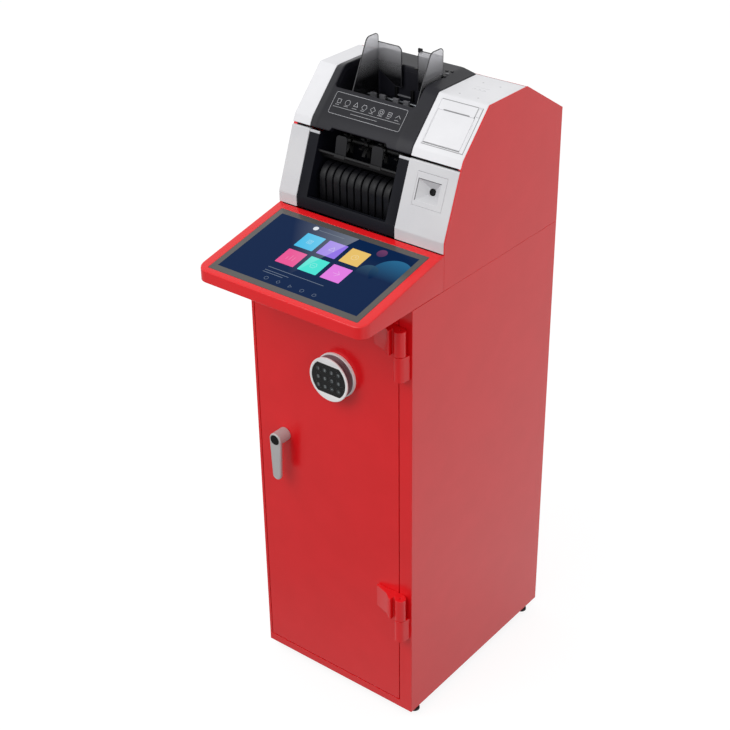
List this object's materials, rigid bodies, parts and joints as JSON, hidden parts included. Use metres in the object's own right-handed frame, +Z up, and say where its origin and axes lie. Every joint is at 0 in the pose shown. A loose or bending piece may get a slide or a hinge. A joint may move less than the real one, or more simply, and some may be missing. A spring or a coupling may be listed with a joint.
{
  "type": "cash deposit machine",
  "caption": "Tall steel safe with a keypad lock and lever handle that carries a sloping touchscreen console, a banknote counter, a code scanner and a receipt printer",
  "frame": {"origin": "on the floor, at the centre of the bounding box of the machine", "axes": "+Z up, -Y towards the user in front of the screen, +X to the right as seen from the front"},
  "size_m": [0.415, 0.655, 1.433],
  "materials": {
    "red_enamel": "smooth satin enamel on sheet steel",
    "white_plastic": "fine-grained moulded plastic",
    "black_plastic": "satin moulded plastic",
    "dark_plastic": "matte moulded plastic",
    "smoked_plastic": "clear smoked plastic",
    "screen_glass": "polished glass over a lit screen",
    "chrome": "polished chrome",
    "silver_paint": "satin silver",
    "satin_metal": "satin cast metal",
    "zinc_steel": "zinc-plated steel",
    "grey_rubber": "matte rubber",
    "white_paper": "uncoated paper",
    "lens_glass": "polished glass"
  },
  "bodies": {
    "machine": {"safe_body": "red_enamel", "hinge_upper_frame_leaf": "red_enamel", "hinge_lower_frame_leaf": "red_enamel", "console_tray": "red_enamel", "display_glass": "screen_glass", "display_module": "zinc_steel", "side_panel_left": "red_enamel", "side_panel_right": "red_enamel", "rear_panel": "red_enamel", "lid_hinge_rod": "zinc_steel", "left_lower_cover": "white_plastic", "right_lower_cover": "white_plastic", "scanner_housing": "white_plastic", "scanner_lens": "lens_glass", "counter_frame": "black_plastic", "rib_comb": "dark_plastic", "deposit_chute": "zinc_steel"},
    "door": {"safe_door": "red_enamel", "hinge_upper_door_leaf": "red_enamel", "hinge_lower_door_leaf": "red_enamel", "boltwork_cover": "zinc_steel", "lock_case": "zinc_steel", "lock_housing": "chrome", "lock_head": "silver_paint", "keypad_plate": "dark_plastic"},
    "handle": {"handle_lever": "satin_metal", "handle_cap": "dark_plastic", "handle_spindle": "zinc_steel"},
    "bolts": {"bolt_bar": "zinc_steel"},
    "key_1": {"key_1": "dark_plastic"},
    "key_2": {"key_2": "dark_plastic"},
    "key_3": {"key_3": "dark_plastic"},
    "key_4": {"key_4": "dark_plastic"},
    "key_5": {"key_5": "dark_plastic"},
    "key_6": {"key_6": "dark_plastic"},
    "key_7": {"key_7": "dark_plastic"},
    "key_8": {"key_8": "dark_plastic"},
    "key_9": {"key_9": "dark_plastic"},
    "key_10": {"key_10": "dark_plastic"},
    "key_11": {"key_11": "dark_plastic"},
    "key_12": {"key_12": "dark_plastic"},
    "foot_front_left": {"foot_front_left": "dark_plastic"},
    "foot_front_right": {"foot_front_right": "dark_plastic"},
    "foot_rear_left": {"foot_rear_left": "dark_plastic"},
    "foot_rear_right": {"foot_rear_right": "dark_plastic"},
    "lid": {"counter_hood": "black_plastic", "left_upper_cover": "white_plastic", "right_upper_cover": "white_plastic", "hopper_tub": "dark_plastic", "guide_rail": "zinc_steel", "printer_case": "white_plastic"},
    "feed_rollers": {"feed_rollers": "grey_rubber"},
    "stacker_wheels": {"stacker_wheels": "grey_rubber"},
    "note_stops": {"note_stops": "smoked_plastic"},
    "guide_left": {"note_guide_left": "smoked_plastic"},
    "guide_right": {"note_guide_right": "smoked_plastic"},
    "printer_door": {"printer_door": "white_plastic"},
    "printer_button": {"printer_button": "white_plastic"},
    "paper_roll": {"paper_roll": "white_paper"},
    "cash_bin": {"cash_bin": "zinc_steel"}
  },
  "joints": [
    {"name": "door_hinge", "type": "hinge", "parent": "machine", "child": "door", "pos_m": [0.188, -0.1905, 0.6125], "axis": [0, 0, 1], "range_deg": [0, 115]},
    {"name": "handle_turn", "type": "hinge", "parent": "door", "child": "handle", "pos_m": [-0.13, -0.1965, 0.628], "axis": [0, -1, 0], "range_deg": [0, 90]},
    {"name": "bolt_slide", "type": "slide", "parent": "door", "child": "bolts", "axis": [-1, 0, 0], "range_m": [0, 0.0181]},
    {"name": "key_1_press", "type": "slide", "parent": "door", "child": "key_1", "axis": [0, 1, 0], "range_m": [0, 0.0008], "stiffness_N_per_m": 200, "springref_m": -0.0005},
    {"name": "key_2_press", "type": "slide", "parent": "door", "child": "key_2", "axis": [0, 1, 0], "range_m": [0, 0.0008], "stiffness_N_per_m": 200, "springref_m": -0.0005},
    {"name": "key_3_press", "type": "slide", "parent": "door", "child": "key_3", "axis": [0, 1, 0], "range_m": [0, 0.0008], "stiffness_N_per_m": 200, "springref_m": -0.0005},
    {"name": "key_4_press", "type": "slide", "parent": "door", "child": "key_4", "axis": [0, 1, 0], "range_m": [0, 0.0008], "stiffness_N_per_m": 200, "springref_m": -0.0005},
    {"name": "key_5_press", "type": "slide", "parent": "door", "child": "key_5", "axis": [0, 1, 0], "range_m": [0, 0.0008], "stiffness_N_per_m": 200, "springref_m": -0.0005},
    {"name": "key_6_press", "type": "slide", "parent": "door", "child": "key_6", "axis": [0, 1, 0], "range_m": [0, 0.0008], "stiffness_N_per_m": 200, "springref_m": -0.0005},
    {"name": "key_7_press", "type": "slide", "parent": "door", "child": "key_7", "axis": [0, 1, 0], "range_m": [0, 0.0008], "stiffness_N_per_m": 200, "springref_m": -0.0005},
    {"name": "key_8_press", "type": "slide", "parent": "door", "child": "key_8", "axis": [0, 1, 0], "range_m": [0, 0.0008], "stiffness_N_per_m": 200, "springref_m": -0.0005},
    {"name": "key_9_press", "type": "slide", "parent": "door", "child": "key_9", "axis": [0, 1, 0], "range_m": [0, 0.0008], "stiffness_N_per_m": 200, "springref_m": -0.0005},
    {"name": "key_10_press", "type": "slide", "parent": "door", "child": "key_10", "axis": [0, 1, 0], "range_m": [0, 0.0008], "stiffness_N_per_m": 200, "springref_m": -0.0005},
    {"name": "key_11_press", "type": "slide", "parent": "door", "child": "key_11", "axis": [0, 1, 0], "range_m": [0, 0.0008], "stiffness_N_per_m": 200, "springref_m": -0.0005},
    {"name": "key_12_press", "type": "slide", "parent": "door", "child": "key_12", "axis": [0, 1, 0], "range_m": [0, 0.0008], "stiffness_N_per_m": 200, "springref_m": -0.0005},
    {"name": "foot_front_left_turn", "type": "hinge", "parent": "machine", "child": "foot_front_left", "pos_m": [-0.19, -0.1415, 0.022], "axis": [0, 0, 1], "continuous": true},
    {"name": "foot_front_right_turn", "type": "hinge", "parent": "machine", "child": "foot_front_right", "pos_m": [0.19, -0.1415, 0.022], "axis": [0, 0, 1], "continuous": true},
    {"name": "foot_rear_left_turn", "type": "hinge", "parent": "machine", "child": "foot_rear_left", "pos_m": [-0.19, 0.2925, 0.022], "axis": [0, 0, 1], "continuous": true},
    {"name": "foot_rear_right_turn", "type": "hinge", "parent": "machine", "child": "foot_rear_right", "pos_m": [0.19, 0.2925, 0.022], "axis": [0, 0, 1], "continuous": true},
    {"name": "lid_hinge", "type": "hinge", "parent": "machine", "child": "lid", "pos_m": [0, 0.19405, 1.365], "axis": [-1, 0, 0], "range_deg": [0, 60]},
    {"name": "guide_left_slide", "type": "slide", "parent": "lid", "child": "guide_left", "axis": [1, 0, 0], "range_m": [0, 0.028]},
    {"name": "guide_right_slide", "type": "slide", "parent": "lid", "child": "guide_right", "axis": [-1, 0, 0], "range_m": [0, 0.028]},
    {"name": "feed_roller_spin", "type": "hinge", "parent": "lid", "child": "feed_rollers", "pos_m": [-0.037, 0.0805, 1.299], "axis": [1, 0, 0], "continuous": true},
    {"name": "stacker_spin", "type": "hinge", "parent": "machine", "child": "stacker_wheels", "pos_m": [-0.037, 0.0315, 1.233], "axis": [1, 0, 0], "continuous": true},
    {"name": "note_stops_tilt", "type": "hinge", "parent": "machine", "child": "note_stops", "pos_m": [-0.037, -0.0305, 1.224], "axis": [-1, 0, 0], "range_deg": [0, 25], "stiffness_Nm_per_rad": 0.02, "springref_deg": -11.46},
    {"name": "printer_door_hinge", "type": "hinge", "parent": "lid", "child": "printer_door", "pos_m": [0.15, -0.00586, 1.29464], "axis": [1, 0, 0], "range_deg": [0, 85]},
    {"name": "printer_button_press", "type": "slide", "parent": "lid", "child": "printer_button", "axis": [0, 0.7197, -0.6942], "range_m": [0, 0.0015], "stiffness_N_per_m": 300, "springref_m": -0.0005},
    {"name": "paper_roll_spin", "type": "hinge", "parent": "lid", "child": "paper_roll", "pos_m": [0.14625, 0.03275, 1.29289], "axis": [1, 0, 0], "continuous": true},
    {"name": "cash_bin_slide", "type": "slide", "parent": "machine", "child": "cash_bin", "axis": [0, -1, 0], "range_m": [0, 0.04]}
  ],
  "couplings": [
    {"joint": "bolt_slide", "follows": "handle_turn", "m_per_rad": 0.01146},
    {"joint": "guide_right_slide", "follows": "guide_left_slide", "ratio": 1}
  ]
}
